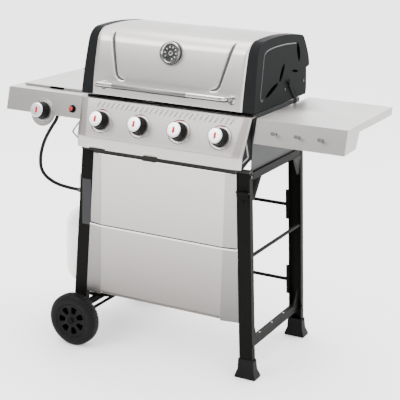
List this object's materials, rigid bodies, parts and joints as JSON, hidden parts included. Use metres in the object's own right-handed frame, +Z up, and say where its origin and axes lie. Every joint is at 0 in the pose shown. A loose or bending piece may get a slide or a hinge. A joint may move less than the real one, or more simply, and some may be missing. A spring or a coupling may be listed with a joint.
{
  "type": "gas barbecue grill",
  "caption": "Gas barbecue grill on a wheeled cart, with hinged stainless lid, control knobs, side shelves, lidded side burner, grease tray, and gas cylinder with hose",
  "frame": {"origin": "on the floor under the middle of the bounding box", "axes": "X across the grill to the right as the cook faces it, Y from the cook to the back, Z up"},
  "size_m": [1.32, 0.636, 1.1741],
  "materials": {
    "stainless": "brushed stainless sheet",
    "grip_steel": "darker brushed sleeve",
    "chrome": "bright plated",
    "dark_enamel": "dark grey satin enamel",
    "black_paint": "black satin powder coat",
    "black_bolt": "black zinc",
    "boot_plastic": "moulded boots",
    "wheel_plastic": "moulded wheel",
    "knob_plastic": "black knob with silver face",
    "firebox_enamel": "black enamel",
    "bare_steel": "plain stainless",
    "iron": "enamelled cast iron",
    "brass": "machined brass",
    "tray_steel": "pressed sheet",
    "needle_dark": "dark grey",
    "button_red": "red and black button",
    "gauge_glass": "clear glass",
    "white_paint": "white gloss",
    "wheel_blue": "moulded hand wheel",
    "alloy": "die cast",
    "hose_rubber": "black gas hose"
  },
  "bodies": {
    "cart": {"control_panel": "stainless", "upper_front_panel": "stainless", "lower_front_panel": "stainless", "shelf_left": "stainless", "shelf_right": "stainless", "side_hooks": "chrome", "tool_pegs": "chrome", "knob_bezels": "chrome", "end_panels": "dark_enamel", "cheeks": "dark_enamel", "lid_hinges": "dark_enamel", "front_legs": "black_paint", "rear_legs": "black_paint", "top_rails": "black_paint", "bottom_rails": "black_paint", "cart_rods": "black_paint", "front_crossbar": "black_paint", "bottle_opener": "black_paint", "tray_guides": "black_paint", "tank_tray": "black_paint", "side_lid_hinge": "black_paint", "axle": "black_paint", "igniter_body": "black_paint", "cart_bolts": "black_bolt", "feet": "boot_plastic", "firebox": "firebox_enamel", "burners": "bare_steel", "heat_tents": "bare_steel", "warming_rack": "bare_steel", "side_burner_head": "bare_steel", "cooking_grates": "iron", "side_grate": "iron", "gas_manifold": "brass", "side_valve": "brass", "tank_valve": "brass", "side_bowl": "tray_steel", "tank_body": "white_paint", "tank_guards": "white_paint", "regulator": "alloy", "gas_hose": "hose_rubber"},
    "lid": {"lid_skin": "stainless", "lid_caps": "dark_enamel", "handle_tube": "chrome", "handle_grip": "grip_steel", "gauge_housing": "chrome", "gauge_glass": "gauge_glass"},
    "needle": {"gauge_needle": "needle_dark"},
    "side_cover": {"side_lid": "stainless"},
    "dial_1": {"knob_1": "knob_plastic"},
    "dial_2": {"knob_2": "knob_plastic"},
    "dial_3": {"knob_3": "knob_plastic"},
    "dial_4": {"knob_4": "knob_plastic"},
    "side_dial": {"side_knob": "knob_plastic"},
    "button": {"igniter_button": "button_red"},
    "front_wheel": {"wheel_front": "wheel_plastic"},
    "rear_wheel": {"wheel_rear": "wheel_plastic"},
    "tray": {"grease_tray": "tray_steel", "grease_cup": "tray_steel"},
    "handwheel": {"tank_handwheel": "wheel_blue"}
  },
  "joints": [
    {"name": "lid_hinge", "type": "hinge", "parent": "cart", "child": "lid", "pos_m": [0, 0.053, 1.007], "axis": [-1, 0, 0], "range_deg": [0, 75]},
    {"name": "gauge_needle_turn", "type": "hinge", "parent": "lid", "child": "needle", "pos_m": [0.008, -0.20914, 1.1099], "axis": [0, 0.9703, -0.2419], "range_deg": [0, 260], "stiffness_Nm_per_rad": 0.005, "springref_deg": -11.46},
    {"name": "side_lid_hinge_turn", "type": "hinge", "parent": "cart", "child": "side_cover", "pos_m": [-0.49, 0.226, 0.931], "axis": [-1, 0, 0], "range_deg": [0, 100]},
    {"name": "knob_1_turn", "type": "hinge", "parent": "cart", "child": "dial_1", "pos_m": [-0.2325, -0.263, 0.855], "axis": [0, -0.9342, 0.3567], "range_deg": [0, 150]},
    {"name": "knob_2_turn", "type": "hinge", "parent": "cart", "child": "dial_2", "pos_m": [-0.0775, -0.263, 0.855], "axis": [0, -0.9342, 0.3567], "range_deg": [0, 150]},
    {"name": "knob_3_turn", "type": "hinge", "parent": "cart", "child": "dial_3", "pos_m": [0.0775, -0.263, 0.855], "axis": [0, -0.9342, 0.3567], "range_deg": [0, 150]},
    {"name": "knob_4_turn", "type": "hinge", "parent": "cart", "child": "dial_4", "pos_m": [0.2325, -0.263, 0.855], "axis": [0, -0.9342, 0.3567], "range_deg": [0, 150]},
    {"name": "side_knob_turn", "type": "hinge", "parent": "cart", "child": "side_dial", "pos_m": [-0.499, -0.2319, 0.855], "axis": [0, -0.9697, 0.2443], "range_deg": [0, 150]},
    {"name": "igniter_press", "type": "slide", "parent": "cart", "child": "button", "axis": [0, 0.9697, -0.2443], "range_m": [0, 0.006], "stiffness_N_per_m": 400, "springref_m": -0.004},
    {"name": "front_wheel_spin", "type": "hinge", "parent": "cart", "child": "front_wheel", "pos_m": [-0.331, -0.2855, 0.0988], "axis": [0, 1, 0], "continuous": true},
    {"name": "rear_wheel_spin", "type": "hinge", "parent": "cart", "child": "rear_wheel", "pos_m": [-0.331, 0.2855, 0.0988], "axis": [0, 1, 0], "continuous": true},
    {"name": "grease_tray_slide", "type": "slide", "parent": "cart", "child": "tray", "axis": [0, 1, 0], "range_m": [0, 0.25]},
    {"name": "handwheel_turn", "type": "hinge", "parent": "cart", "child": "handwheel", "pos_m": [-0.363, -0.01, 0.577], "axis": [0, 0, 1], "range_deg": [0, 540]}
  ]
}
